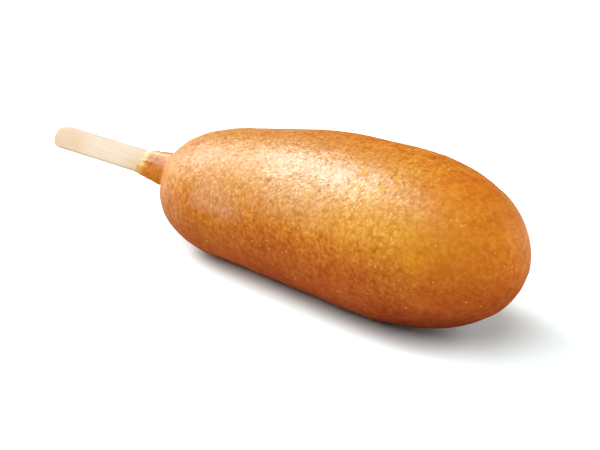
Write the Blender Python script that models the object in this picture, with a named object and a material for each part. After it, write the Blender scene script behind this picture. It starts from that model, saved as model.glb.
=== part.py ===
"""A corn dog lying on its side, as a Blender 4.5 model in metres, +Z up.

The fried batter is a club: slim at the stick end, fat towards the tip, round at both ends, a little lumpy,
and flat underneath where it rests. Its batter runs out along the stick as a short, thin collar. The flat
wooden stick is turned on its long axis and goes most of the way through the food, in a socket that fits it.

The long axis is X, with the tip at +X and the stick at -X. The origin is on the ground, under the middle
of the whole object.
"""

import math

import bmesh
import bpy
from mathutils import Matrix, Vector

# Body of batter
BODY_LENGTH = 0.107
NECK_RADIUS = 0.0155  # at the stick end, before the end is rounded
FAT_RADIUS = 0.0207  # towards the tip, before the waist is taken off
FAT_FROM = 0.565  # share of the body's length where the swelling is complete
WAIST = 0.0014  # how much slimmer the middle is
NECK_CAP = 0.0233  # length of the rounded end by the stick
NECK_SQUARENESS = 2.4  # 2 is an ellipse, more is blunter
TIP_CAP = 0.0411
TIP_SQUARENESS = 2.19
SIDE_BOW = 0.0017  # how far the middle bows sideways
STICK_Y = -0.0016  # the stick's line is this far to the side of the whole object's middle
RESTING_FLAT = 0.0006  # how much the weight has pressed off the underside

# Unevenness of the batter: (waves around, waves along, share of the radius, phase in degrees)
LUMPS = (
    (1, 1.0, 0.005, 280),
    (2, 1.5, 0.004, 20),
    (3, 1.0, 0.006, 240),
)

# Wooden stick
STICK_LENGTH = 0.140
STICK_SHOWING = 0.0529  # from the body's end to the stick's far end
STICK_WIDTH = 0.0063
STICK_THICKNESS = 0.0022
STICK_EDGE = 0.0008  # radius of the round along its edges
STICK_ROLL = math.radians(67)
STICK_PITCH = math.radians(1.3)  # its far end hangs lower than its buried end
STICK_ABOVE_MIDDLE = 0.0014  # it leaves the body a little above the body's centre line
FAR_UPPER_CORNER = (0.0052, 0.0021)  # rounding of the far end's corner, along and across the stick
PLAIN_CORNER = (0.0020, 0.0011)
SOCKET_GAP = 0.00025

# Collar of batter on the stick
COLLAR_LENGTH = 0.0150
MOUTH_WALL = 0.0004
ROOT_WALL_ON_EDGES = 0.0015  # over the stick's narrow sides, where the collar meets the body
ROOT_WALL_ON_FACES = 0.0026  # over its broad sides
COLLAR_SQUARENESS = 2.6
COLLAR_BLEND = 4.0  # a higher number makes a tighter fillet into the body
CENTRE_SHIFT_LENGTH = 0.0045  # the stretch over which the body's rings move onto the stick's line

# Faceting
SEGMENTS_AROUND = 56
RINGS = 54
PROFILE_SAMPLES = 1500
CORNER_SEGMENTS = 5
EDGE_SEGMENTS = 3
ROUNDED_EDGE_ANGLE = math.radians(60)  # edges sharper than this get the round
SHARP_ANGLE = math.radians(45)  # edges sharper than this are shaded sharp

NECK_X = STICK_SHOWING / 2 - BODY_LENGTH / 2
TIP_X = NECK_X + BODY_LENGTH
MOUTH_X = NECK_X - COLLAR_LENGTH


def clear_scene():
    """Removes every object of the start-up scene."""
    for obj in list(bpy.data.objects):
        bpy.data.objects.remove(obj, do_unlink=True)


def make_material(name, colour, roughness):
    """A Principled BSDF with one colour and roughness, and no metal in it."""
    material = bpy.data.materials.new(name)
    material.use_nodes = True
    shader = material.node_tree.nodes["Principled BSDF"]
    shader.inputs["Base Color"].default_value = (*colour, 1.0)
    shader.inputs["Roughness"].default_value = roughness
    shader.inputs["Metallic"].default_value = 0.0
    return material


def along_body(x):
    """Share of the body's length at x: 0 at the stick end, 1 at the tip, and held there beyond."""
    return min(1.0, max(0.0, (x - NECK_X) / BODY_LENGTH))


def trunk_radius(s):
    """Radius at share s of the length, before the ends are rounded."""
    swelling = 0.5 - 0.5 * math.cos(math.pi * min(s / FAT_FROM, 1.0))
    waist = WAIST * math.sin(math.pi * s) ** 2
    return NECK_RADIUS + (FAT_RADIUS - NECK_RADIUS) * swelling - waist


def rounding(distance, cap, squareness):
    """Superellipse that rises from 0 at an end to 1 at a distance of cap from it."""
    inward = max(0.0, 1.0 - distance / cap)
    return max(0.0, 1.0 - inward**squareness) ** (1.0 / squareness)


def lumpiness(angle, s):
    """Factor on the radius for the uneven batter. It fades out at both ends."""
    waves = sum(
        share * math.sin(around * angle + math.tau * along * s + math.radians(phase))
        for around, along, share, phase in LUMPS
    )
    return 1.0 + waves * math.sin(math.pi * s) ** 0.5


def body_radius(angle, x):
    """Radius of the body's skin, and 0 beyond its ends."""
    s = along_body(x)
    ends = rounding(s * BODY_LENGTH, NECK_CAP, NECK_SQUARENESS) * rounding(
        (1.0 - s) * BODY_LENGTH, TIP_CAP, TIP_SQUARENESS
    )
    return trunk_radius(s) * ends * lumpiness(angle, s)


def collar_radius(angle, x):
    """Radius of the collar's skin: a rounded rectangle round the stick, thicker towards the body."""
    share = min(1.0, (x - MOUTH_X) / COLLAR_LENGTH)
    on_edges = MOUTH_WALL + (ROOT_WALL_ON_EDGES - MOUTH_WALL) * share
    on_faces = MOUTH_WALL + (ROOT_WALL_ON_FACES - MOUTH_WALL) * share
    across = abs(math.cos(angle - STICK_ROLL)) / (STICK_WIDTH / 2 + SOCKET_GAP + on_edges)
    through = abs(math.sin(angle - STICK_ROLL)) / (STICK_THICKNESS / 2 + SOCKET_GAP + on_faces)
    total = across**COLLAR_SQUARENESS + through**COLLAR_SQUARENESS
    return total ** (-1.0 / COLLAR_SQUARENESS)


def skin_radius(angle, x):
    """Radius of the whole skin: body and collar run into one another through a fillet."""
    body = body_radius(angle, x)
    if x > NECK_X + NECK_CAP:
        return body
    collar = collar_radius(angle, x)
    return (body**COLLAR_BLEND + collar**COLLAR_BLEND) ** (1.0 / COLLAR_BLEND)


def stick_height(x):
    """Height of the stick's centre line at x."""
    at_neck = NECK_RADIUS - RESTING_FLAT + STICK_ABOVE_MIDDLE
    return at_neck + (x - NECK_X) * math.tan(STICK_PITCH)


def centre(x):
    """Centre of the skin at x: on the stick's line in the collar, and flush on the ground in the body."""
    s = along_body(x)
    sideways = STICK_Y + SIDE_BOW * math.sin(math.pi * s)
    height = trunk_radius(s) - RESTING_FLAT
    share = min(1.0, max(0.0, (x - NECK_X) / CENTRE_SHIFT_LENGTH))
    on_stick = 0.5 + 0.5 * math.cos(math.pi * share)
    return Vector((x, sideways, height + (stick_height(x) - height) * on_stick))


def skin_point(angle, x):
    """Point of the skin at an angle, from +Y towards +Z, and a place x."""
    radius = skin_radius(angle, x)
    return centre(x) + Vector((0.0, radius * math.cos(angle), radius * math.sin(angle)))


def ring_places():
    """Places x of the rings, evenly spaced along the curve of the profile, from the mouth to the tip."""
    span = TIP_X - MOUTH_X
    samples = [MOUTH_X + span * i / PROFILE_SAMPLES for i in range(PROFILE_SAMPLES + 1)]
    travelled = [0.0]
    for before, after in zip(samples, samples[1:]):
        rise = skin_radius(0.0, after) - skin_radius(0.0, before)
        travelled.append(travelled[-1] + math.hypot(after - before, rise))
    places, i = [], 0
    for ring in range(RINGS):
        target = travelled[-1] * ring / RINGS
        while travelled[i + 1] < target:
            i += 1
        part = (target - travelled[i]) / (travelled[i + 1] - travelled[i])
        places.append(samples[i] + (samples[i + 1] - samples[i]) * part)
    return places


def skin_mesh():
    """The whole outer skin as one closed mesh: rings, a flat mouth and a pole at the tip."""
    mesh = bmesh.new()
    angles = [math.tau * i / SEGMENTS_AROUND for i in range(SEGMENTS_AROUND)]
    rings = [
        [mesh.verts.new(skin_point(angle, x)) for angle in angles]
        for x in ring_places()
    ]
    mesh.faces.new(rings[0])
    for ring, next_ring in zip(rings, rings[1:]):
        for i in range(SEGMENTS_AROUND):
            j = (i + 1) % SEGMENTS_AROUND
            mesh.faces.new((ring[i], ring[j], next_ring[j], next_ring[i]))
    pole = mesh.verts.new(centre(TIP_X))
    for i in range(SEGMENTS_AROUND):
        mesh.faces.new((rings[-1][i], rings[-1][(i + 1) % SEGMENTS_AROUND], pole))
    bmesh.ops.recalc_face_normals(mesh, faces=mesh.faces)
    return mesh


def press_flat(mesh):
    """Cuts off what lies below the ground and closes the cut with one flat face."""
    cut = bmesh.ops.bisect_plane(
        mesh,
        geom=list(mesh.verts) + list(mesh.edges) + list(mesh.faces),
        plane_co=(0.0, 0.0, 0.0),
        plane_no=(0.0, 0.0, 1.0),
        clear_inner=True,
    )
    rim = [item for item in cut["geom_cut"] if isinstance(item, bmesh.types.BMEdge)]
    bmesh.ops.contextual_create(mesh, geom=rim)
    bmesh.ops.recalc_face_normals(mesh, faces=mesh.faces)


def add_object(name, mesh, material):
    """Puts a bmesh into the scene as an object with one material."""
    data = bpy.data.meshes.new(name)
    mesh.to_mesh(data)
    mesh.free()
    obj = bpy.data.objects.new(name, data)
    if material:
        data.materials.append(material)
    bpy.context.scene.collection.objects.link(obj)
    return obj


def shade_round(obj):
    """Smooth shading, kept sharp where faces meet at a sharp angle."""
    obj.data.shade_smooth()
    obj.data.set_sharp_from_angle(angle=SHARP_ANGLE)


def bar_outline(extra):
    """Outline of the stick seen flat, far end at -X, anticlockwise, grown by extra on every side."""
    corners = (
        (1, 1, PLAIN_CORNER),
        (-1, 1, FAR_UPPER_CORNER),
        (-1, -1, PLAIN_CORNER),
        (1, -1, PLAIN_CORNER),
    )
    outline = []
    for quarter, (end, side, (along, across)) in enumerate(corners):
        middle_x = end * (STICK_LENGTH / 2 - along)
        middle_y = side * (STICK_WIDTH / 2 - across)
        for step in range(CORNER_SEGMENTS + 1):
            turn = math.pi / 2 * (quarter + step / CORNER_SEGMENTS)
            x = middle_x + (along + extra) * math.cos(turn)
            y = middle_y + (across + extra) * math.sin(turn)
            outline.append(Vector((x, y, 0.0)))
    return outline


def bar_mesh(extra):
    """The stick's bar, grown on every side by extra: 0 for the stick, the gap for its socket."""
    mesh = bmesh.new()
    half = STICK_THICKNESS / 2 + extra
    upper = [mesh.verts.new(point + Vector((0.0, 0.0, half))) for point in bar_outline(extra)]
    face = mesh.faces.new(upper)
    moved = bmesh.ops.extrude_face_region(mesh, geom=[face])
    lower = [item for item in moved["geom"] if isinstance(item, bmesh.types.BMVert)]
    bmesh.ops.translate(mesh, verts=lower, vec=(0.0, 0.0, -2 * half))
    bmesh.ops.recalc_face_normals(mesh, faces=mesh.faces)
    return mesh


def lay_bar(obj, edge_radius):
    """Turns a bar from its own axes, length along X and flat side up, to where the stick lies.

    Its long edges get a round of edge_radius.
    """
    far_end = NECK_X - STICK_SHOWING
    middle = far_end + STICK_LENGTH / 2 * math.cos(STICK_PITCH)
    obj.matrix_world = (
        Matrix.Translation((middle, STICK_Y, stick_height(middle)))
        @ Matrix.Rotation(-STICK_PITCH, 4, "Y")
        @ Matrix.Rotation(STICK_ROLL, 4, "X")
    )
    rounds = obj.modifiers.new("edge_rounds", "BEVEL")
    rounds.width = edge_radius
    rounds.segments = EDGE_SEGMENTS
    rounds.limit_method = "ANGLE"
    rounds.angle_limit = ROUNDED_EDGE_ANGLE


def build_stick():
    """The wooden stick, with rounds along its edges."""
    wood = make_material("pale_wood", (0.80, 0.62, 0.40), 0.65)
    stick = add_object("stick", bar_mesh(0.0), wood)
    lay_bar(stick, STICK_EDGE)
    shade_round(stick)


def build_batter():
    """The batter's skin, flat underneath, with the stick's socket cut into it."""
    fried = make_material("fried_batter", (0.62, 0.27, 0.06), 0.55)
    mesh = skin_mesh()
    press_flat(mesh)
    batter = add_object("batter", mesh, fried)
    cutter = add_object("socket_cutter", bar_mesh(SOCKET_GAP), None)
    lay_bar(cutter, STICK_EDGE + SOCKET_GAP)
    cutter.hide_render = True
    cutter.display_type = "WIRE"
    socket = batter.modifiers.new("socket", "BOOLEAN")
    socket.operation = "DIFFERENCE"
    socket.solver = "EXACT"
    socket.object = cutter
    shade_round(batter)


def main():
    """Builds the whole object in an empty scene."""
    clear_scene()
    build_batter()
    build_stick()


main()
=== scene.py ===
"""The looks of a corn dog lying on its side: a fried crust, grit in the crust and a flat wooden stick.

The crust is one closed skin over the whole of the batter. It is fat and round at the tip, slim at the stick
end, and it runs out along the stick as a collar that thins to a pale film. The grit is cornmeal that stands a
little proud of the crust. All sizes are in metres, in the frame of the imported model: the long axis is X with
the tip at +X, and the ground is at Z = 0.
"""

from __future__ import annotations

import logging
import math
from dataclasses import dataclass, field
from enum import Enum
from typing import Any

import bpy
import numpy as np
from mathutils import Matrix, Vector

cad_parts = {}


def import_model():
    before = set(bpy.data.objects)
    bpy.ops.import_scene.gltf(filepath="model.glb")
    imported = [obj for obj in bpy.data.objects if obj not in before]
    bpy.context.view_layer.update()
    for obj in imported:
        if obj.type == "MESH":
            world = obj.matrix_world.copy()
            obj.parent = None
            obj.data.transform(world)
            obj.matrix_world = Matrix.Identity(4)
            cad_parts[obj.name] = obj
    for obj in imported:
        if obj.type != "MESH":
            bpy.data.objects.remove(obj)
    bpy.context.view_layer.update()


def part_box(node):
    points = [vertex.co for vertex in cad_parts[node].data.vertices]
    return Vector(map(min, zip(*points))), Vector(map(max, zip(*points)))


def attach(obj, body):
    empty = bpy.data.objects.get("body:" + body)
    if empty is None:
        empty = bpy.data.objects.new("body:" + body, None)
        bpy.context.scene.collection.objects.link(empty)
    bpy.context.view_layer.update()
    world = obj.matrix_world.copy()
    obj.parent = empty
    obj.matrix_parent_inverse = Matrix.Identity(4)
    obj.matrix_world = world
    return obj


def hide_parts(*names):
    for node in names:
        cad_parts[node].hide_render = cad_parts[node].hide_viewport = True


LOG = logging.getLogger("corn_dog")
BODY = "root"

Rgb = tuple[float, float, float]
Point = tuple[float, float, float]
Fade = tuple[float, float]


class Out(Enum):
    """Which output of a node is meant, where it isn't the first."""

    FIRST = 0
    SECOND = 1
    MIXED_COLOUR = 2


class Value:
    """A number that comes out of a node. Arithmetic on it adds Math nodes to its tree."""

    def __init__(self, tree: Tree, socket: bpy.types.NodeSocket) -> None:
        """Wraps one output socket of a tree."""
        self.tree = tree
        self.socket = socket

    def math(self, operation: str, *others: Any) -> Value:
        """This value and others through one Math node."""
        return self.tree.math(operation, self, *others)

    def __add__(self, other: Any) -> Value:
        """This plus other."""
        return self.math("ADD", other)

    def __radd__(self, other: Any) -> Value:
        """Other plus this."""
        return self.math("ADD", other)

    def __sub__(self, other: Any) -> Value:
        """This minus other."""
        return self.math("SUBTRACT", other)

    def __rsub__(self, other: Any) -> Value:
        """Other minus this."""
        return self.tree.math("SUBTRACT", other, self)

    def __mul__(self, other: Any) -> Value:
        """This times other."""
        return self.math("MULTIPLY", other)

    def __rmul__(self, other: Any) -> Value:
        """Other times this."""
        return self.math("MULTIPLY", other)

    def at_most(self, other: Any) -> Value:
        """The lesser of this and other."""
        return self.math("MINIMUM", other)

    def at_least(self, other: Any) -> Value:
        """The greater of this and other."""
        return self.math("MAXIMUM", other)

    def rise(self, low: float, high: float) -> Value:
        """A smooth step: 0 up to low, 1 from high on. With low above high it falls instead.

        Args:
            low: Where the step starts.
            high: Where the step ends.

        Returns:
            The step, from 0 to 1.
        """
        settings = {"interpolation_type": "SMOOTHSTEP"}
        sockets = {"Value": self, "From Min": low, "From Max": high}
        return self.tree.value("ShaderNodeMapRange", settings, sockets)


class Tree:
    """A shader or geometry node tree that is written as calls and arithmetic."""

    def __init__(self, nodes: bpy.types.NodeTree) -> None:
        """Wraps a node tree."""
        self.nodes = nodes

    def node(
        self,
        kind: str,
        settings: dict[str, Any] | None = None,
        sockets: dict[Any, Any] | None = None,
    ) -> bpy.types.Node:
        """Adds one node.

        Args:
            kind: The node's type.
            settings: Its settings, set before its sockets. "stops" fills a ramp with (place, colour) pairs.
            sockets: Values, output sockets or plain numbers, by input name or index.

        Returns:
            The new node.
        """
        made = self.nodes.nodes.new(kind)
        for name, setting in (settings or {}).items():
            if name == "stops":
                self._fill_ramp(made.color_ramp, setting)
            else:
                setattr(made, name, setting)
        for key, given in (sockets or {}).items():
            self._feed(made.inputs[key], given)
        return made

    @staticmethod
    def _fill_ramp(ramp: bpy.types.ColorRamp, stops: list[tuple[float, Rgb]]) -> None:
        """Gives a ramp its stops."""
        while len(ramp.elements) > 1:
            ramp.elements.remove(ramp.elements[-1])
        for index, (place, colour) in enumerate(stops):
            element = ramp.elements[0] if index == 0 else ramp.elements.new(place)
            element.position = place
            element.color = (*colour, 1.0)

    def _feed(self, socket: bpy.types.NodeSocket, given: Any) -> None:
        """Links or sets one input."""
        if isinstance(given, Value):
            self.nodes.links.new(given.socket, socket)
        elif isinstance(given, bpy.types.NodeSocket):
            self.nodes.links.new(given, socket)
        elif isinstance(given, tuple) and socket.type == "RGBA":
            socket.default_value = (*given, 1.0)
        else:
            socket.default_value = given

    def value(
        self,
        kind: str,
        settings: dict[str, Any] | None = None,
        sockets: dict[Any, Any] | None = None,
        out: Out = Out.FIRST,
    ) -> Value:
        """Adds one node and wraps one of its outputs."""
        return Value(self, self.node(kind, settings, sockets).outputs[out.value])

    def math(self, operation: str, *numbers: Any) -> Value:
        """Adds one Math node."""
        return self.value("ShaderNodeMath", {"operation": operation}, dict(enumerate(numbers)))

    def vector_math(self, operation: str, *vectors: Any) -> bpy.types.NodeSocket:
        """Adds one Vector Math node and returns its vector."""
        made = self.node("ShaderNodeVectorMath", {"operation": operation}, dict(enumerate(vectors)))
        return made.outputs["Vector"]

    def scaled(self, vector: Any, scale: Any) -> bpy.types.NodeSocket:
        """A vector times a number."""
        made = self.node("ShaderNodeVectorMath", {"operation": "SCALE"}, {0: vector, "Scale": scale})
        return made.outputs["Vector"]

    def distance(self, vector: Any, place: Point) -> Value:
        """How far a vector is from a fixed place."""
        settings = {"operation": "DISTANCE"}
        return self.value("ShaderNodeVectorMath", settings, {0: vector, 1: place}, Out.SECOND)

    def noise(self, vector: Any, size: float, detail: float = 2.0, roughness: float = 0.5) -> Value:
        """Smooth noise from 0 to 1.

        Args:
            vector: Where it is read.
            size: The width of its largest patches, in the vector's unit.
            detail: How many finer layers it has.
            roughness: How strong the finer layers are.

        Returns:
            The noise.
        """
        sockets = {"Vector": vector, "Scale": 1.0 / size, "Detail": detail, "Roughness": roughness}
        return self.value("ShaderNodeTexNoise", None, sockets)

    def cells(self, vector: Any, size: float) -> Value:
        """Distance to the nearest of many scattered points, in cell widths.

        Args:
            vector: Where it is read.
            size: The usual distance between two points.

        Returns:
            The distance.
        """
        sockets = {"Vector": vector, "Scale": 1.0 / size, "Randomness": 1.0}
        return self.value("ShaderNodeTexVoronoi", None, sockets)

    def blend(self, share: Any, first: Any, second: Any) -> bpy.types.NodeSocket:
        """A mix of two colours.

        Args:
            share: How much of the second, from 0 to 1.
            first: A colour or a colour socket.
            second: A colour or a colour socket.

        Returns:
            The mixed colour's socket.
        """
        settings = {"data_type": "RGBA", "blend_type": "MIX"}
        made = self.node("ShaderNodeMix", settings, {0: share, 6: first, 7: second})
        return made.outputs[Out.MIXED_COLOUR.value]


class Surface(Tree):
    """The node tree of a material."""

    def __init__(self, name: str) -> None:
        """Starts a material of this name."""
        self.material = bpy.data.materials.new(name)
        self.material.use_nodes = True
        super().__init__(self.material.node_tree)
        self.nodes.nodes.clear()
        self.place = self.node("ShaderNodeTexCoord").outputs["Object"]
        axes = self.node("ShaderNodeSeparateXYZ", None, {0: self.place})
        self.x, self.y, self.z = (Value(self, socket) for socket in axes.outputs)

    def attribute(self, name: str) -> Value:
        """A number stored on the mesh."""
        made = self.node("ShaderNodeAttribute", {"attribute_name": name})
        return Value(self, made.outputs["Fac"])

    def shader(self, sockets: dict[str, Any]) -> bpy.types.NodeSocket:
        """Adds one Principled shader with these inputs."""
        return self.node("ShaderNodeBsdfPrincipled", None, sockets).outputs[0]

    def mixed(self, share: Any, first: Any, second: Any) -> bpy.types.NodeSocket:
        """Two shaders mixed, with this share of the second."""
        return self.node("ShaderNodeMixShader", None, {0: share, 1: first, 2: second}).outputs[0]

    def finish(self, shader: bpy.types.NodeSocket) -> bpy.types.Material:
        """Makes a shader the material's surface and returns the material."""
        self.node("ShaderNodeOutputMaterial", None, {"Surface": shader})
        return self.material


@dataclass(frozen=True)
class Zone:
    """A part of the surface, held in by fades along, across and up it, each from one place to another.

    Every two places are one fade, from 0 at the first to 1 at the second, whichever is greater. Turn and
    slope lean the fades across and up, by that much for each metre along.
    """

    along: tuple[float, ...] = ()
    across: tuple[float, ...] = ()
    up: tuple[float, ...] = ()
    turn: float = 0.0
    slope: float = 0.0
    strength: float = 1.0

    def on(self, tree: Surface) -> Value:
        """The zone's share all over a surface, from 0 to its strength."""
        y = tree.y + tree.x * self.turn if self.turn else tree.y
        z = tree.z + tree.x * self.slope if self.slope else tree.z
        ways = ((tree.x, self.along), (y, self.across), (z, self.up))
        fades = [way.rise(*ends) for way, places in ways for ends in zip(places[::2], places[1::2])]
        return math.prod(fades, start=self.strength)

    def off(self, tree: Surface) -> Value:
        """What the zone leaves: 1 away from it, and 1 less its strength on it."""
        return 1 - self.on(tree)


@dataclass(frozen=True)
class Spot:
    """A round place that fades in towards its middle, with an edge that can be uneven."""

    middle: Point
    edge: Fade
    strength: float
    uneven: float = 0.0
    uneven_size: float = 0.003

    def on(self, tree: Surface) -> Value:
        """The spot's share all over a surface, from 0 to its strength."""
        distance = tree.distance(tree.place, self.middle)
        if self.uneven:
            distance = distance + tree.noise(tree.place, self.uneven_size, 2.0) * self.uneven
        return distance.rise(*self.edge) * self.strength


@dataclass(frozen=True)
class Sprinkle:
    """Small marks in loose clusters. Edge is where a mark begins and is full, in shares of the spacing.

    Outside their zone and between clusters the marks shrink away, or fade where shrink is 0.
    """

    spacing: float
    edge: Fade
    cluster_size: float
    clusters: Fade
    zone: Zone
    shrink: float = 0.3
    uneven: float = 0.0
    uneven_size: float = 0.0006

    def on(self, tree: Surface) -> Value:
        """The marks' share all over a surface, from 0 to 1."""
        near = tree.cells(tree.place, self.spacing)
        if self.uneven:
            near = near + (tree.noise(tree.place, self.uneven_size, 1.0) - 0.5) * self.uneven
        clusters = tree.noise(tree.place, self.cluster_size, 1.0).rise(*self.clusters)
        where = self.zone.on(tree) * clusters
        if not self.shrink:
            return near.rise(*self.edge) * where
        return (near + (1 - where) * self.shrink).rise(*self.edge)


@dataclass(frozen=True)
class Layer:
    """Unevenness of one size: how far it tints the colour, raises the surface and breaks up the oil.

    It is smooth noise, or rounded flakes where flakes is given: the level that they stand at.
    """

    size: float
    tint: float
    oil: float
    depth: float = 0.0
    detail: float = 3.0
    roughness: float = 0.6
    flakes: float = 0.0

    def on(self, tree: Surface) -> Value:
        """The unevenness all over a surface, about 0 on average."""
        if self.flakes:
            return self.flakes - tree.cells(tree.place, self.size)
        return tree.noise(tree.place, self.size, self.detail, self.roughness) - 0.5


@dataclass(frozen=True)
class CrustFinish:
    """Fried batter: golden on top, redder and darker low down, mottled and pitted, with an oily sheen on top.

    Its colours are as the eye sees them, in even steps, and become light only at the end.
    """

    browning: tuple[tuple[float, Rgb], ...] = (
        (0.00, (0.435, 0.172, 0.080)),
        (0.15, (0.492, 0.214, 0.096)),
        (0.30, (0.578, 0.270, 0.114)),
        (0.45, (0.628, 0.331, 0.136)),
        (0.60, (0.680, 0.402, 0.150)),
        (0.75, (0.704, 0.452, 0.168)),
        (0.90, (0.727, 0.496, 0.195)),
        (1.00, (0.748, 0.526, 0.218)),
    )
    pale_film: Rgb = (0.79, 0.72, 0.53)
    pit_colour: Rgb = (0.56, 0.42, 0.14)
    yellow: Rgb = (0.80, 0.565, 0.12)
    # painted highlight: the yellower tint laid where the highlight falls on top
    painted_highlight_yellow: Rgb = (0.70, 0.515, 0.175)
    # painted shade: the darker brown of the collar's lower side
    painted_collar_shade: Rgb = (0.635, 0.365, 0.12)
    orange_tip: Rgb = (0.73, 0.40, 0.115)
    to_light: float = 2.2

    # The mottling, from broad to fine.
    patch_size: float = 0.020
    patch_tint: float = 0.16
    blotch: Layer = Layer(0.0048, tint=0.26, oil=0.8)
    more_blotch_on_far_side: float = 0.35
    grain: Layer = Layer(0.0014, tint=0.20, oil=0.9, depth=0.00019, roughness=0.62)
    grain_in_browning: float = 0.3
    speck: Layer = Layer(0.0005, tint=0.12, oil=0.6, depth=0.00006, detail=1.0)
    peel: Layer = Layer(0.0009, tint=0.12, oil=0.4, depth=0.00007, flakes=0.45)
    pit_depth: float = 0.00012
    pit_tint: float = 0.7
    fleck_tint: float = 0.7
    # painted glints: how much white the tiny bright specks add to the colour
    painted_glint_tint: float = 0.10

    # Shine, bare and under oil.
    dull_shine: float = 0.012
    roughness: float = 0.6
    oil_shine: float = 1.0
    oil_roughness: float = 0.40
    oiliness: float = 0.95

    # How golden it is, from 0, dark brown, to 1, pale gold.
    plain_gold: float = 0.14
    paler: tuple[Zone, ...] = (
        Zone(up=(0.0, 0.016), strength=0.28),  # up from the ground
        Zone(up=(0.014, 0.028), strength=0.42),  # up the sides
        Zone(along=(0.025, 0.0), up=(0.025, 0.018), strength=0.125),  # the stick end's side
        Zone(along=(0.035, 0.055), up=(0.022, 0.028), strength=0.05),  # the top by the tip
        # painted highlight: paler where a highlight falls on the shoulder by the stick
        Zone(along=(0.0, -0.012), up=(0.017, 0.023), strength=0.12),  # the shoulder by the stick
    )
    browner: tuple[Zone, ...] = (
        Zone(up=(0.029, 0.039), strength=0.16),  # the very top
        Zone(along=(0.0, -0.015), up=(0.022, 0.028), strength=0.19),  # the top of the stick end
        Zone(along=(0.060, 0.078), strength=0.08),  # the tip
        Zone(along=(0.070, 0.079), up=(0.018, 0.026), strength=0.12),  # the tip's upper edge
        Zone(across=(0.003, 0.010), up=(0.022, 0.030), turn=0.16, strength=0.06),  # over the top
        # over the top and by the tip
        Zone((0.050, 0.064, 0.077, 0.068), (0.003, 0.010), (0.022, 0.030), turn=0.16, strength=0.13),
        Zone(along=(0.045, 0.062, 0.078, 0.067), up=(0.014, 0.004), strength=0.22),  # low by the tip
    )
    blotchy_far_side: Zone = Zone(across=(0.002, 0.008), up=(0.022, 0.028), turn=0.20)

    # Where other colours lie over the browning.
    # painted highlight: where the yellower tint lies, over the core of the highlight on top
    painted_highlight_tint: Zone = Zone(
        (-0.012, 0.012, 0.068, 0.048), (0.0, -0.012), (0.0225, 0.0290), slope=-0.08, strength=0.40
    )
    # painted shade: the collar's lower side darker and browner
    shaded_collar: Zone = Zone(along=(-0.0275, -0.0310), up=(0.0205, 0.0172), strength=0.85)
    orange_end: Zone = Zone(along=(0.056, 0.070), up=(0.010, 0.024), strength=0.4)
    thin_film: Zone = Zone(up=(0.0182, 0.0145), strength=0.5)

    # Where the grain is calmer, and how its strength varies all over.
    calmer: tuple[Zone, ...] = (
        Zone(along=(0.055, 0.072), strength=0.5),  # the tip
        Zone(up=(0.022, 0.010), strength=0.55),  # low down
    )
    busy_size: float = 0.009
    busy_least: float = 0.55
    busy_more: float = 0.9

    # Where oil lies, and where there is less of it.
    oily_top: Zone = Zone(along=(0.074, 0.058), up=(0.0172, 0.0262), slope=-0.08)
    drier: tuple[Zone | Spot, ...] = (
        Zone(across=(-0.006, 0.015), turn=0.26),  # the far side
        Spot((0.010, -0.0155, 0.0275), (0.016, 0.004), 0.40),  # on the near side of the top
        Zone(along=(0.020, -0.004), strength=0.35),  # towards the stick
        Zone(along=(0.034, 0.046), up=(0.0275, 0.0245), slope=-0.08, strength=0.3),  # the yellower part
    )
    oily_places: tuple[Zone, ...] = (
        Zone(along=(-0.0265, -0.0300), up=(0.0168, 0.0190), strength=0.8),  # the top of the collar
        Zone(along=(-0.002, -0.018, -0.0300, -0.0265), up=(0.006, 0.018), strength=0.40),  # the stick end
        Zone(along=(0.066, 0.078), across=(-0.006, 0.010), up=(0.012, 0.026), strength=0.4),  # the tip's rim
        # the near shoulder by the stick
        Zone((0.018, 0.006, -0.011, -0.001), (-0.004, -0.010), (0.0155, 0.020, 0.027, 0.024), strength=0.75),
    )
    dry_flecks: float = 0.6
    dry_pits: float = 0.9

    # Pits along the middle of the top, painted glints (tiny bright specks painted into the colour), and
    # yellower flecks along the front of the top.
    pits: Sprinkle = Sprinkle(
        spacing=0.0017,
        edge=(0.25, 0.11),
        cluster_size=0.006,
        clusters=(0.36, 0.50),
        zone=Zone(along=(0.028, 0.038, 0.064, 0.054), across=(-0.007, -0.011), up=(0.026, 0.030)),
    )
    # painted glints: tiny bright specks painted into the colour
    painted_glints: Sprinkle = Sprinkle(
        spacing=0.0015,
        edge=(0.24, 0.10),
        cluster_size=0.007,
        clusters=(0.42, 0.62),
        zone=Zone(along=(0.005, 0.025), up=(0.006, 0.010)),
        uneven=0.35,
    )
    flecks: Sprinkle = Sprinkle(
        spacing=0.0026,
        edge=(0.42, 0.20),
        cluster_size=0.010,
        clusters=(0.42, 0.58),
        zone=Zone(along=(0.018, 0.040, 0.068, 0.055), across=(-0.006, -0.011), up=(0.024, 0.029)),
        shrink=0.0,
    )
    yellow_front: Zone = Zone((0.036, 0.050, 0.073, 0.061), (-0.011, -0.015), (0.021, 0.028), strength=0.42)
    yellow_patch: Spot = Spot((0.0655, -0.017, 0.0225), (0.0058, 0.0025), 0.45, uneven=0.004)

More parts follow.
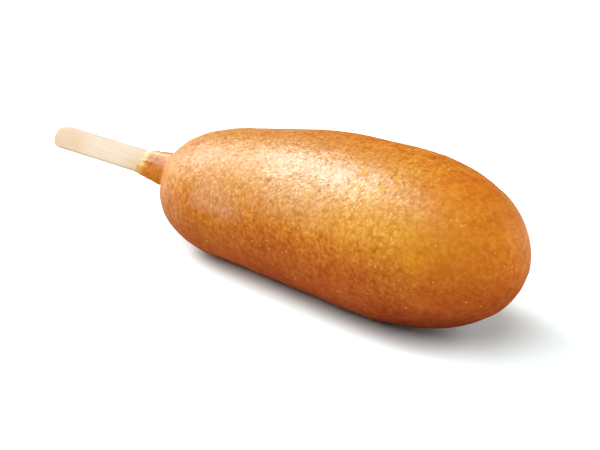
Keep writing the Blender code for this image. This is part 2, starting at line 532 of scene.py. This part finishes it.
    def material(self) -> bpy.types.Material:
        """Builds the crust's material."""
        tree = Surface("fried_crust")
        blotch = self.blotch.on(tree)
        fine = {layer: layer.on(tree) for layer in (self.grain, self.speck, self.peel)}
        pits = self.pits.on(tree)
        flecks = self._flecks(tree)
        busy = tree.noise(tree.place, self.busy_size, 1.0) * self.busy_more + self.busy_least
        for zone in self.calmer:
            busy = busy * zone.off(tree)
        colour = self._browned(tree, blotch, fine[self.grain])
        # painted highlight: a yellower tint where the highlight falls
        colour = tree.blend(self.painted_highlight_tint.on(tree), colour, self.painted_highlight_yellow)
        # painted shade on the collar's lower side
        colour = tree.blend(self.shaded_collar.on(tree), colour, self.painted_collar_shade)
        colour = tree.blend(self.orange_end.on(tree), colour, self.orange_tip)
        colour = tree.blend(flecks * self.fleck_tint, colour, self.yellow)
        colour = tree.blend(pits * self.pit_tint, colour, self.pit_colour)
        colour = tree.blend(tree.attribute("film") * self.thin_film.off(tree), colour, self.pale_film)
        tint = sum(uneven * layer.tint for layer, uneven in fine.items()) * busy
        # painted glints: tiny bright specks added to the colour
        tint = tint + self.painted_glints.on(tree) * self.painted_glint_tint
        colour = tree.vector_math("ADD", colour, tree.scaled((1.0, 1.0, 1.0), tint))
        colour = tree.node("ShaderNodeGamma", None, {0: colour, 1: self.to_light}).outputs[0]
        bumps = sum(uneven * layer.depth for layer, uneven in fine.items()) * busy - pits * self.pit_depth
        normal = tree.node("ShaderNodeBump", None, {"Height": bumps, "Strength": 1.0, "Distance": 1.0})
        shared = {"Base Color": colour, "Normal": normal.outputs[0]}
        dull = tree.shader(shared | {"Roughness": self.roughness, "Specular IOR Level": self.dull_shine})
        oily = tree.shader(shared | {"Roughness": self.oil_roughness, "Specular IOR Level": self.oil_shine})
        streaky = 1 + blotch * self.blotch.oil + sum(uneven * layer.oil for layer, uneven in fine.items())
        wet = self._wetness(tree) * (1 - flecks * self.dry_flecks)
        oil = wet * self.oiliness * streaky * (1 - pits * self.dry_pits)
        return tree.finish(tree.mixed(oil.at_least(0.0).at_most(1.0), dull, oily))

    def _browned(self, tree: Surface, blotch: Value, grain: Value) -> bpy.types.NodeSocket:
        """The crust's main colour: how golden each zone is, mottled, and looked up in the browning."""
        golden = (tree.noise(tree.place, self.patch_size, 2.0) - 0.5) * self.patch_tint + self.plain_gold
        for zone in self.paler:
            golden = golden + zone.on(tree)
        for zone in self.browner:
            golden = golden - zone.on(tree)
        blotchy = self.blotchy_far_side.on(tree) * self.more_blotch_on_far_side + self.blotch.tint
        golden = golden + blotch * blotchy + grain * self.grain_in_browning
        return tree.node("ShaderNodeValToRGB", {"stops": self.browning}, {0: golden}).outputs[0]

    def _wetness(self, tree: Surface) -> Value:
        """Where oil lies: on top, and a little round both ends, but not low down or on the tip's far side."""
        wet = self.oily_top.on(tree)
        for zone in self.drier:
            wet = wet * (1 - zone.on(tree))
        for zone in self.oily_places:
            wet = wet.at_least(zone.on(tree))
        return wet

    def _flecks(self, tree: Surface) -> Value:
        """Yellower flecks where less oil lies, an even yellow between them, and one small yellower patch."""
        flecks = self.flecks.on(tree)
        return flecks.at_least(self.yellow_front.on(tree)).at_least(self.yellow_patch.on(tree))


@dataclass(frozen=True)
class GritFinish:
    """Cornmeal grains: pale gold to orange, and duller than the crust."""

    light: Rgb = (0.70, 0.36, 0.07)
    deep: Rgb = (0.52, 0.18, 0.02)
    tint_size: float = 0.003
    tints: Fade = (0.35, 0.65)
    roughness: float = 0.6
    shine: float = 0.2

    def material(self) -> bpy.types.Material:
        """Builds the grit's material."""
        tree = Surface("cornmeal_grit")
        share = tree.noise(tree.place, self.tint_size, 1.0).rise(*self.tints)
        colour = tree.blend(share, self.deep, self.light)
        sockets = {"Base Color": colour, "Roughness": self.roughness, "Specular IOR Level": self.shine}
        return tree.finish(tree.shader(sockets))


@dataclass(frozen=True)
class WoodFinish:
    """Bare pale wood with a fine straight grain: tanned far out, oily by the batter, brown at its edges, with
    painted shade on the lower edge.
    """

    light: Rgb = (0.595, 0.465, 0.355)
    streak: Rgb = (0.53, 0.415, 0.29)
    tanned: Rgb = (0.53, 0.365, 0.225)
    oily: Rgb = (0.50, 0.33, 0.15)
    # the edges' brown, and painted shade along the lower edge
    edge: Rgb = (0.28, 0.20, 0.14)
    roughness: float = 0.62
    streak_width: float = 0.0006
    streak_length: float = 0.022
    cloud_size: float = 0.008
    streak_share: float = 0.6
    streaks: Fade = (0.38, 0.66)
    far_end: Zone = Zone(along=(-0.060, -0.074))
    least_tan: float = 0.55
    cloudy_tan: float = 0.5
    by_batter: Zone = Zone(along=(-0.051, -0.043))
    oil_all_round: float = 0.15
    oil_low_down: Zone = Zone(up=(0.0180, 0.0155), strength=0.5)
    edge_brown_and_shade: float = 0.9
    grain_depth: float = 0.00006

    def material(self) -> bpy.types.Material:
        """Builds the wood's material."""
        tree = Surface("pale_wood")
        along = tree.x * (self.streak_width / self.streak_length)
        stretched = tree.node("ShaderNodeCombineXYZ", None, {0: along, 1: tree.y, 2: tree.z}).outputs[0]
        grain = tree.noise(stretched, self.streak_width, 3.0, 0.6)
        clouds = tree.noise(tree.place, self.cloud_size, 2.0)
        share = (grain * self.streak_share + clouds * (1 - self.streak_share)).rise(*self.streaks)
        colour = tree.blend(share, self.light, self.streak)
        tan = self.far_end.on(tree) * (self.least_tan + clouds * self.cloudy_tan)
        colour = tree.blend(tan, colour, self.tanned)
        soaked = self.by_batter.on(tree) * (self.oil_low_down.on(tree) + self.oil_all_round)
        colour = tree.blend(soaked, colour, self.oily)
        # brown edges, darker along the lower edge with painted shade
        colour = tree.blend(tree.attribute("edge") * self.edge_brown_and_shade, colour, self.edge)
        normal = tree.node("ShaderNodeBump", None, {"Height": grain * self.grain_depth, "Distance": 1.0})
        sockets = {"Base Color": colour, "Roughness": self.roughness, "Normal": normal.outputs[0]}
        return tree.finish(tree.shader(sockets))


@dataclass(frozen=True)
class FloorFinish:
    """A matt, pale studio floor."""

    colour: Rgb = (0.88, 0.97, 0.96)
    roughness: float = 0.9

    def material(self) -> bpy.types.Material:
        """Builds the floor's material."""
        tree = Surface("pale_floor")
        sockets = {"Base Color": self.colour, "Roughness": self.roughness, "Specular IOR Level": 0.0}
        return tree.finish(tree.shader(sockets))


class GeometryTree(Tree):
    """A Geometry Nodes tree with named inputs, run once on a mesh to give a plain mesh."""

    def __init__(self, name: str) -> None:
        """Starts a tree with one geometry input and one geometry output."""
        group = bpy.data.node_groups.new(name, "GeometryNodeTree")
        group.is_modifier = True
        group.interface.new_socket("Geometry", in_out="INPUT", socket_type="NodeSocketGeometry")
        group.interface.new_socket("Geometry", in_out="OUTPUT", socket_type="NodeSocketGeometry")
        super().__init__(group)
        self.entry = self.node("NodeGroupInput")
        self.numbers: dict[str, float | int] = {}

    def number(self, name: str, given: float | int) -> Value:
        """Adds a named input.

        Args:
            name: The input's name.
            given: Its number: a whole number makes a whole-number input.

        Returns:
            The input, for use in the tree.
        """
        kind = "NodeSocketInt" if isinstance(given, int) else "NodeSocketFloat"
        item = self.nodes.interface.new_socket(name, in_out="INPUT", socket_type=kind)
        self.numbers[item.identifier] = given
        return Value(self, self.entry.outputs[name])

    def geometry(self) -> bpy.types.NodeSocket:
        """The mesh that the tree is run on."""
        return self.entry.outputs["Geometry"]

    def close(self, geometry: Any, material: bpy.types.Material) -> None:
        """Ends the tree in Realize Instances and Set Material."""
        real = self.node("GeometryNodeRealizeInstances", None, {0: geometry}).outputs[0]
        dressed = self.node("GeometryNodeSetMaterial", None, {"Geometry": real, "Material": material})
        self.node("NodeGroupOutput", None, {0: dressed.outputs[0]})

    def run(self, obj: bpy.types.Object) -> bpy.types.Mesh:
        """Runs the tree on an object.

        Args:
            obj: An object whose mesh the tree works on. It keeps its own mesh.

        Returns:
            The new plain mesh.
        """
        modifier = obj.modifiers.new(self.nodes.name, "NODES")
        modifier.node_group = self.nodes
        for identifier, given in self.numbers.items():
            modifier[identifier] = given
        depsgraph = bpy.context.evaluated_depsgraph_get()
        evaluated = obj.evaluated_get(depsgraph)
        mesh = bpy.data.meshes.new_from_object(evaluated, preserve_all_data_layers=True, depsgraph=depsgraph)
        obj.modifiers.remove(modifier)
        return mesh


def put_in_scene(name: str, mesh: bpy.types.Mesh) -> bpy.types.Object:
    """Adds an object for a mesh, at the origin."""
    obj = bpy.data.objects.new(name, mesh)
    bpy.context.scene.collection.objects.link(obj)
    return obj


def mesh_from_rings(name: str, rings: np.ndarray, first: np.ndarray, last: np.ndarray) -> bpy.types.Mesh:
    """A closed tube of rings with a pole at either end.

    Args:
        name: The mesh's name.
        rings: Points, shaped (rings, points in a ring, 3), turning about +X from +Y to +Z.
        first: The pole before the first ring.
        last: The pole after the last ring.

    Returns:
        The mesh, with its faces pointing out and smooth.
    """
    count, around = rings.shape[:2]
    here = np.arange(around)
    after = (here + 1) % around
    rows = np.arange(count - 1)[:, None] * around
    quads = np.stack([rows + here, rows + here + around, rows + after + around, rows + after], axis=-1)
    pole_a, pole_b = count * around, count * around + 1
    end = (count - 1) * around
    start_fan = np.stack([np.full(around, pole_a), here, after], axis=-1)
    end_fan = np.stack([np.full(around, pole_b), end + after, end + here], axis=-1)
    points = np.concatenate([rings.reshape(-1, 3), [first, last]])
    faces = quads.reshape(-1, 4).tolist() + start_fan.tolist() + end_fan.tolist()
    mesh = bpy.data.meshes.new(name)
    mesh.from_pydata(points.tolist(), [], faces)
    mesh.flip_normals()
    mesh.shade_smooth()
    return mesh


def store(mesh: bpy.types.Mesh, name: str, numbers: np.ndarray) -> None:
    """Stores one number for each point of a mesh."""
    layer = mesh.attributes.new(name, "FLOAT", "POINT")
    layer.data.foreach_set("value", numbers.astype(np.float32))


@dataclass
class StickShape:
    """Where the wooden stick lies and how it is cut."""

    width: float = 0.0063
    thickness: float = 0.0022
    edge_radius: float = 0.0008
    roll: float = math.radians(67)
    pitch: float = math.radians(1.3)
    far_corner: tuple[float, float] = (0.0052, 0.0021)
    plain_corner: tuple[float, float] = (0.0020, 0.0011)

    def __post_init__(self) -> None:
        """Reads the stick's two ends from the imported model."""
        low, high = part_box("stick")
        drop = math.sin(self.roll) * self.width / 2 + math.cos(self.roll) * self.thickness / 2
        self.length = (high.x - low.x) / math.cos(self.pitch)
        self.y = (low.y + high.y) / 2
        self.far_end = low.x
        self.far_height = low.z + drop
        self.placement = (
            Matrix.Translation((self.far_end, self.y, self.far_height))
            @ Matrix.Rotation(-self.pitch, 4, "Y")
            @ Matrix.Rotation(self.roll, 4, "X")
        )

    def height(self, x: Any) -> Any:
        """Height of the stick's centre line at x."""
        return self.far_height + (x - self.far_end) * math.tan(self.pitch)

    def section(self, angle: np.ndarray, on_edges: Any, on_faces: Any, squareness: float) -> np.ndarray:
        """Distance from the stick's line to a coat around it.

        Args:
            angle: Directions about +X, from +Y to +Z.
            on_edges: The coat's thickness over the stick's narrow sides.
            on_faces: The coat's thickness over its broad sides.
            squareness: 2 is an ellipse, more is closer to a rectangle.

        Returns:
            The distance in each direction.
        """
        across = np.abs(np.cos(angle - self.roll)) / (self.width / 2 + on_edges)
        through = np.abs(np.sin(angle - self.roll)) / (self.thickness / 2 + on_faces)
        return (across**squareness + through**squareness) ** (-1.0 / squareness)


@dataclass
class BatterShape:
    """The skin of the batter: the body, its lumps and the collar on the stick."""

    stick: StickShape
    length: float = 0.107
    neck_radius: float = 0.0155
    fat_radius: float = 0.0207
    fat_from: float = 0.565
    waist: float = 0.0014
    neck_cap: float = 0.0233
    neck_squareness: float = 2.4
    tip_cap: float = 0.0411
    tip_squareness: float = 2.19
    side_bow: float = 0.0017
    resting_flat: float = 0.0006
    # (waves around, waves along, share of the radius, phase in degrees)
    lumps: tuple[tuple[int, float, float, float], ...] = (
        (1, 1.0, 0.005, 280),
        (2, 1.5, 0.004, 20),
        (3, 1.0, 0.006, 240),
    )
    collar_wall: float = 0.00015
    root_wall_on_edges: float = 0.00185
    root_wall_on_faces: float = 0.0029
    collar_blend: float = 4.0
    centre_shift: float = 0.0045
    feather: float = 0.0022
    feather_curve: float = 0.6
    film_wall: float = 0.00009
    mouth_squareness: float = 5.0
    root_squareness: float = 2.4
    past_mouth: float = 0.0004
    longer_below: float = 0.0014
    # (waves around, size, phase in radians)
    rags: tuple[tuple[int, float, float], ...] = (
        (3, 0.0005, 1.0),
        (7, 0.0004, 2.0),
        (13, 0.0002, 0.0),
    )

    def __post_init__(self) -> None:
        """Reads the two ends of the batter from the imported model."""
        low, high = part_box("batter")
        self.tip_x = high.x
        self.neck_x = high.x - self.length
        self.mouth_x = low.x

    def share(self, x: np.ndarray) -> np.ndarray:
        """Share of the body's length at x, from 0 at the stick end to 1 at the tip."""
        return np.clip((x - self.neck_x) / self.length, 0.0, 1.0)

    def trunk(self, s: np.ndarray) -> np.ndarray:
        """Radius at share s of the length, before the ends are rounded."""
        swelling = 0.5 - 0.5 * np.cos(np.pi * np.minimum(s / self.fat_from, 1.0))
        swollen = self.neck_radius + (self.fat_radius - self.neck_radius) * swelling
        return swollen - self.waist * np.sin(np.pi * s) ** 2

    @staticmethod
    def rounding(distance: np.ndarray, cap: float, squareness: float) -> np.ndarray:
        """Rises from 0 at an end to 1 at a distance of cap from it."""
        inward = np.clip(1.0 - distance / cap, 0.0, 1.0)
        return (1.0 - inward**squareness) ** (1.0 / squareness)

    def body(self, angle: np.ndarray, x: np.ndarray) -> np.ndarray:
        """Radius of the body's skin, and 0 beyond its ends."""
        s = self.share(x)
        waves = sum(
            size * np.sin(around * angle + math.tau * along * s + math.radians(phase))
            for around, along, size, phase in self.lumps
        )
        ends = self.rounding(s * self.length, self.neck_cap, self.neck_squareness)
        ends = ends * self.rounding((1.0 - s) * self.length, self.tip_cap, self.tip_squareness)
        return self.trunk(s) * ends * (1.0 + waves * np.sqrt(np.sin(np.pi * s)))

    def reach(self, angle: np.ndarray) -> np.ndarray:
        """How far the collar runs out along the stick, longer on its lower side and a little ragged."""
        plain = self.neck_x - self.mouth_x
        ragged = sum(size * np.sin(around * angle + start) for around, size, start in self.rags)
        return plain + self.past_mouth - self.longer_below * np.sin(angle) + ragged

    def skin(self, angle: np.ndarray, x: np.ndarray) -> np.ndarray:
        """Radius of the whole skin, where x runs to the nominal mouth in the collar."""
        share = np.clip((x - self.mouth_x) / (self.neck_x - self.mouth_x), 0.0, 1.0)
        on_edges = self.collar_wall + (self.root_wall_on_edges - self.collar_wall) * share
        on_faces = self.collar_wall + (self.root_wall_on_faces - self.collar_wall) * share
        thin = np.clip((x - self.mouth_x) / self.feather, 0.0, 1.0) ** self.feather_curve
        on_edges = self.film_wall + (on_edges - self.film_wall) * thin
        on_faces = self.film_wall + (on_faces - self.film_wall) * thin
        squareness = self.mouth_squareness + (self.root_squareness - self.mouth_squareness) * np.sqrt(share)
        collar = self.stick.section(angle, on_edges, on_faces, squareness)
        body = self.body(angle, x)
        collar = np.where(x > self.neck_x + self.neck_cap, 0.0, collar)
        return (body**self.collar_blend + collar**self.collar_blend) ** (1.0 / self.collar_blend)

    def points(self, angle: np.ndarray, x: np.ndarray, radius: np.ndarray) -> np.ndarray:
        """Points of the skin.

        Args:
            angle: Directions about +X, from +Y to +Z.
            x: Places along the length, where the collar ends at the nominal mouth.
            radius: The skin's radius at each.

        Returns:
            The points, with the collar drawn out to its ragged end and the underside pressed flat.
        """
        s = self.share(x)
        stretch = self.reach(angle) / (self.neck_x - self.mouth_x)
        place = np.where(x < self.neck_x, self.neck_x - (self.neck_x - x) * stretch, x)
        turn = 0.5 + 0.5 * np.cos(np.pi * np.clip((x - self.neck_x) / self.centre_shift, 0.0, 1.0))
        level = self.trunk(s) - self.resting_flat
        level = level + (self.stick.height(place) - level) * turn
        y = self.stick.y + self.side_bow * np.sin(np.pi * s) + radius * np.cos(angle)
        z = np.maximum(level + radius * np.sin(angle), 0.0)
        return np.stack(np.broadcast_arrays(place, y, z), axis=-1)

    def stations(self, count: int, samples: int = 3000) -> np.ndarray:
        """Places x from the nominal mouth to just short of the tip, even along the curve of the skin."""
        x = np.linspace(self.mouth_x, self.tip_x, samples)
        r = self.skin(np.array(0.0), x)
        travelled = np.concatenate([[0.0], np.cumsum(np.hypot(np.diff(x), np.diff(r)))])
        return np.interp(travelled[-1] * np.arange(count) / count, travelled, x)


@dataclass
class Crust:
    """The fried skin over the whole batter, with relief made by Geometry Nodes."""

    shape: BatterShape
    finish: CrustFinish = field(default_factory=CrustFinish)
    rings: int = 300
    around: int = 288
    hidden_share: float = 0.6
    swell: float = 0.00022
    swell_size: float = 0.007
    ripple: float = 0.00012
    ripple_size: float = 0.0022
    pock: float = 0.00009
    pock_spacing: float = 0.0036
    pock_edge: Fade = (0.22, 0.06)
    smooth_mouth: Fade = (0.001, 0.006)
    smooth_underside: Fade = (0.0002, 0.002)
    film_fade: Fade = (0.0048, 0.0006)
    seed: int = 7

    def base(self) -> bpy.types.Object:
        """The smooth skin, closed inside the stick, with the distance from the mouth stored on it."""
        angle = np.linspace(0.0, math.tau, self.around, endpoint=False)[None, :]
        x = self.shape.stations(self.rings)[:, None]
        radius = self.shape.skin(angle, x)
        rings = self.shape.points(angle, x, radius)
        inner = self.shape.points(angle, x[:1], radius[:1] * self.hidden_share)
        rings = np.concatenate([inner, rings])
        first = inner[0].mean(axis=0)
        last = self.shape.points(np.zeros(1), np.array([self.shape.tip_x]), np.zeros(1))[0]
        mesh = mesh_from_rings("crust_base", rings, first, last)
        from_mouth = np.concatenate([x[:1] * 0 + self.shape.mouth_x, x]) - self.shape.mouth_x
        from_mouth = np.broadcast_to(from_mouth, rings.shape[:2]).reshape(-1)
        store(mesh, "from_mouth", np.append(from_mouth, [0.0, 1.0]))
        return put_in_scene("crust_base", mesh)

    def tree(self) -> GeometryTree:
        """Relief along the normals: swellings, ripples and pocks, but none at the mouth or where it rests."""
        tree = GeometryTree("crust_relief")
        place = tree.node("GeometryNodeInputPosition").outputs[0]
        normal = tree.node("GeometryNodeInputNormal").outputs[0]
        numeric = {"data_type": "FLOAT"}
        from_mouth = tree.value("GeometryNodeInputNamedAttribute", numeric, {"Name": "from_mouth"})
        height = Value(tree, tree.node("ShaderNodeSeparateXYZ", None, {0: place}).outputs[2])
        moved = tree.vector_math("ADD", place, (self.seed * 1.0, 0.0, 0.0))
        swell = (tree.noise(moved, self.swell_size, 1.0) - 0.5) * tree.number("Swell", self.swell) * 2
        ripple = tree.noise(moved, self.ripple_size, 3.0, 0.6) - 0.5
        ripple = ripple * tree.number("Ripple", self.ripple) * 2
        pock = tree.cells(moved, self.pock_spacing).rise(*self.pock_edge) * tree.number("Pock", self.pock)
        held = from_mouth.rise(*self.smooth_mouth) * height.rise(*self.smooth_underside)
        offset = tree.scaled(normal, (swell + ripple - pock) * held)
        shaped = tree.node("GeometryNodeSetPosition", None, {"Geometry": tree.geometry(), "Offset": offset})
        film = from_mouth.rise(*self.film_fade)
        stored = tree.node(
            "GeometryNodeStoreNamedAttribute",
            {"data_type": "FLOAT", "domain": "POINT"},
            {"Geometry": shaped.outputs[0], "Name": "film", "Value": film},
        )
        tree.close(stored.outputs[0], self.finish.material())
        return tree

    def build(self) -> bpy.types.Object:
        """Builds the crust and lets it stand for the batter."""
        base = self.base()
        crust = put_in_scene("crust", self.tree().run(base))
        bpy.data.objects.remove(base)
        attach(crust, BODY)
        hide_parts("batter")
        report(crust)
        return crust


@dataclass
class Grit:
    """Cornmeal grains that stand a little proud of the crust."""

    finish: GritFinish = field(default_factory=GritFinish)
    per_square_metre: float = 14000.0
    smallest: float = 0.00012
    largest: float = 0.00030
    sink: float = 0.45
    clear_of_ground: Fade = (0.0006, 0.003)
    seed: int = 21

    def tree(self) -> GeometryTree:
        """Scatters small round grains over a surface."""
        tree = GeometryTree("grit_scatter")
        place = tree.node("GeometryNodeInputPosition").outputs[0]
        height = Value(tree, tree.node("ShaderNodeSeparateXYZ", None, {0: place}).outputs[2])
        numeric = {"data_type": "FLOAT"}
        film = tree.value("GeometryNodeInputNamedAttribute", numeric, {"Name": "film"})
        wanted = (1 - film) * height.rise(*self.clear_of_ground)
        density = tree.number("Density", self.per_square_metre) * wanted
        seed = tree.number("Seed", self.seed)
        scatter = tree.node(
            "GeometryNodeDistributePointsOnFaces",
            {"distribute_method": "RANDOM"},
            {"Mesh": tree.geometry(), "Density": density, "Seed": seed},
        )
        small = tree.number("Smallest", self.smallest)
        large = tree.number("Largest", self.largest)
        sizes = {"Min": small, "Max": large, "Seed": seed}
        size = tree.node("FunctionNodeRandomValue", numeric, sizes)
        radius = Value(tree, next(out for out in size.outputs if out.enabled))
        lowered = tree.scaled(scatter.outputs["Normal"], radius * tree.number("Sink", self.sink) * -1)
        moved = {"Geometry": scatter.outputs["Points"], "Offset": lowered}
        sunk = tree.node("GeometryNodeSetPosition", None, moved)
        ball = tree.node("GeometryNodeMeshIcoSphere", None, {"Radius": 1.0, "Subdivisions": 1})
        round_ball = tree.node("GeometryNodeSetShadeSmooth", None, {0: ball.outputs["Mesh"]}).outputs[0]
        placed = tree.node(
            "GeometryNodeInstanceOnPoints",
            None,
            {
                "Points": sunk.outputs[0],
                "Instance": round_ball,
                "Rotation": scatter.outputs["Rotation"],
                "Scale": radius.socket,
            },
        )
        tree.close(placed.outputs[0], self.finish.material())
        return tree

    def build(self, crust: bpy.types.Object) -> bpy.types.Object:
        """Builds the grit on a crust."""
        grit = put_in_scene("grit", self.tree().run(crust))
        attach(grit, BODY)
        report(grit)
        return grit


@dataclass
class Stick:
    """The flat wooden stick, with softened edges and a grain that can be felt."""

    shape: StickShape
    finish: WoodFinish = field(default_factory=WoodFinish)
    rings: int = 260
    around: int = 48
    groove_depth: float = 0.00004
    groove_width: float = 0.0007
    groove_stretch: float = 0.04
    end_crowding: float = 0.8
    corner_turn: float = 1.6
    edge_from: float = 0.87
    edge_fade: float = 0.05
    upper_edge_unshaded_share: float = 0.35

    def base(self) -> bpy.types.Object:
        """The plain bar as rings across its length, laid in place."""
        shape = self.shape
        along = self._stations()
        low, high = self._sides(along)
        angle = np.linspace(0.0, math.tau, self.around, endpoint=False)[None, :]
        half_width = ((high - low) / 2)[:, None]
        middle = ((high + low) / 2)[:, None]
        half_thickness = np.minimum(shape.thickness / 2, half_width)
        y, z = self._rounded_rectangle(angle, half_width, half_thickness)
        rings = np.stack(np.broadcast_arrays(along[:, None], middle + y, z), axis=-1)
        ends = [np.array([x, (low[i] + high[i]) / 2, 0.0]) for i, x in ((0, along[0]), (-1, along[-1]))]
        mesh = mesh_from_rings("stick_base", rings, *ends)
        # brown edges with painted shade: the lower edge takes it in full, the upper edge only its brown share
        edge = np.clip((np.abs(y) / half_width - self.edge_from) / self.edge_fade, 0, 1)
        edge = edge * np.where(y < 0, 1.0, self.upper_edge_unshaded_share)
        store(mesh, "edge", np.append(edge.reshape(-1), [0.0, 0.0]))
        mesh.transform(shape.placement)
        return put_in_scene("stick_base", mesh)

    def _stations(self) -> np.ndarray:
        """Places along the stick, closer together at its two ends."""
        even = np.linspace(0.0, 1.0, self.rings)
        return self.shape.length * (even - self.end_crowding * np.sin(math.tau * even) / math.tau)

    def _sides(self, along: np.ndarray) -> tuple[np.ndarray, np.ndarray]:
        """The two sides of the outline at places along the stick, drawn in at its rounded corners."""
        shape = self.shape
        half = shape.width / 2

        def inset(distance: np.ndarray, corner: tuple[float, float]) -> np.ndarray:
            """How far a corner draws the side in at a distance from the end."""
            inward = np.clip(1.0 - distance / corner[0], 0.0, 1.0)
            return corner[1] * (1.0 - np.sqrt(1.0 - inward**2))

        to_end = shape.length - along
        upper = half - inset(along, shape.far_corner) - inset(to_end, shape.plain_corner)
        lower = -half + inset(along, shape.plain_corner) + inset(to_end, shape.plain_corner)
        return lower, upper

    def _rounded_rectangle(
        self,
        angle: np.ndarray,
        half_width: np.ndarray,
        half_thickness: np.ndarray,
    ) -> tuple[np.ndarray, np.ndarray]:
        """Points round a rectangle whose corners are arcs."""
        radius = np.minimum(self.shape.edge_radius, half_thickness)
        straight_y = half_width - radius
        straight_z = half_thickness - radius
        turn_y, turn_z = np.cos(angle), np.sin(angle)
        y = np.clip(turn_y * self.corner_turn, -1, 1) * straight_y + radius * turn_y
        z = np.clip(turn_z * self.corner_turn, -1, 1) * straight_z + radius * turn_z
        return y, z

    def tree(self) -> GeometryTree:
        """Fine grooves along the grain."""
        tree = GeometryTree("wood_grain")
        place = tree.node("GeometryNodeInputPosition").outputs[0]
        normal = tree.node("GeometryNodeInputNormal").outputs[0]
        drawn_out = tree.vector_math("MULTIPLY", place, (self.groove_stretch, 1.0, 1.0))
        grooves = tree.noise(drawn_out, self.groove_width, 2.0) - 0.5
        offset = tree.scaled(normal, grooves * tree.number("Depth", self.groove_depth) * 2)
        shaped = tree.node("GeometryNodeSetPosition", None, {"Geometry": tree.geometry(), "Offset": offset})
        tree.close(shaped.outputs[0], self.finish.material())
        return tree

    def build(self) -> bpy.types.Object:
        """Builds the stick and lets it stand for the plain one."""
        base = self.base()
        stick = put_in_scene("wooden_stick", self.tree().run(base))
        bpy.data.objects.remove(base)
        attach(stick, BODY)
        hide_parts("stick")
        report(stick)
        return stick


@dataclass(frozen=True)
class SoftLight:
    """A wide white sheet of light, far enough away to light the whole floor evenly. Angles are in degrees."""

    name: str
    around: float
    height: float
    spread: float
    strength: float

    def build(self) -> None:
        """Adds the light, turned to shine from its direction."""
        lamp = bpy.data.lights.new(self.name, "SUN")
        lamp.angle = math.radians(self.spread)
        lamp.energy = self.strength
        turn, rise = math.radians(self.around), math.radians(self.height)
        away = Vector((math.cos(turn) * math.cos(rise), math.sin(turn) * math.cos(rise), math.sin(rise)))
        obj = bpy.data.objects.new(self.name, lamp)
        obj.rotation_euler = away.to_track_quat("Z", "Y").to_euler()
        bpy.context.scene.collection.objects.link(obj)


@dataclass
class Studio:
    """The floor, the lights, the white surroundings and the camera."""

    floor_size: float = 6.0
    surroundings: float = 0.20
    azimuth: float = math.radians(45.94)
    elevation: float = math.radians(19.71)
    distance: float = 0.3433
    aim_height: float = 0.0184
    aside: float = 0.00698
    above: float = 0.00193
    lens: float = 90.0
    sensor: float = 36.0
    lights: tuple[SoftLight, ...] = (
        SoftLight("key", 190, 40, 30, 2.4),
        SoftLight("low_key", 190, 20, 50, 1.3),
        SoftLight("right", 40, 25, 55, 2.1),
        SoftLight("top", 280, 60, 60, 2.4),
    )

    def build(self, shape: BatterShape) -> None:
        """Builds the whole studio round the food."""
        middle = Vector((shape.tip_x - shape.length / 2, shape.stick.y, self.aim_height))
        self._floor()
        self._surround()
        for light in self.lights:
            light.build()
        self._camera(middle)
        bpy.context.scene.view_settings.view_transform = "Standard"

    def _floor(self) -> None:
        """The pale floor, just under the food."""
        half = self.floor_size / 2
        corners = [(-half, -half, 0.0), (half, -half, 0.0), (half, half, 0.0), (-half, half, 0.0)]
        mesh = bpy.data.meshes.new("floor")
        mesh.from_pydata(corners, [], [(0, 1, 2, 3)])
        mesh.materials.append(FloorFinish().material())
        put_in_scene("floor", mesh)

    def _surround(self) -> None:
        """Even white light from all round."""
        world = bpy.data.worlds.new("white_room")
        world.use_nodes = True
        back = world.node_tree.nodes["Background"]
        back.inputs["Color"].default_value = (1.0, 1.0, 1.0, 1.0)
        back.inputs["Strength"].default_value = self.surroundings
        bpy.context.scene.world = world

    def _camera(self, middle: Vector) -> None:
        """The camera, looking down a little at the tip from one side."""
        turn, rise = self.azimuth, self.elevation
        back = Vector((math.sin(turn) * math.cos(rise), -math.cos(turn) * math.cos(rise), math.sin(rise)))
        right = Vector((math.cos(turn), math.sin(turn), 0.0))
        up = back.cross(right)
        data = bpy.data.cameras.new("camera")
        data.lens = self.lens
        data.sensor_width = self.sensor
        data.clip_start = 0.01
        camera = bpy.data.objects.new("camera", data)
        camera.location = middle + back * self.distance - right * self.aside - up * self.above
        camera.rotation_euler = back.to_track_quat("Z", "Y").to_euler()
        bpy.context.scene.collection.objects.link(camera)
        bpy.context.scene.camera = camera


def report(obj: bpy.types.Object) -> None:
    """Logs a finished piece and how many faces it has."""
    LOG.info("%s: %d faces", obj.name, len(obj.data.polygons))


def main() -> None:
    """Builds the food and the studio round it."""
    logging.basicConfig(level=logging.INFO, format="%(name)s %(message)s")
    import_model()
    stick_shape = StickShape()
    batter_shape = BatterShape(stick_shape)
    Studio().build(batter_shape)
    crust = Crust(batter_shape).build()
    Grit().build(crust)
    Stick(stick_shape).build()


if __name__ == "__main__":
    main()
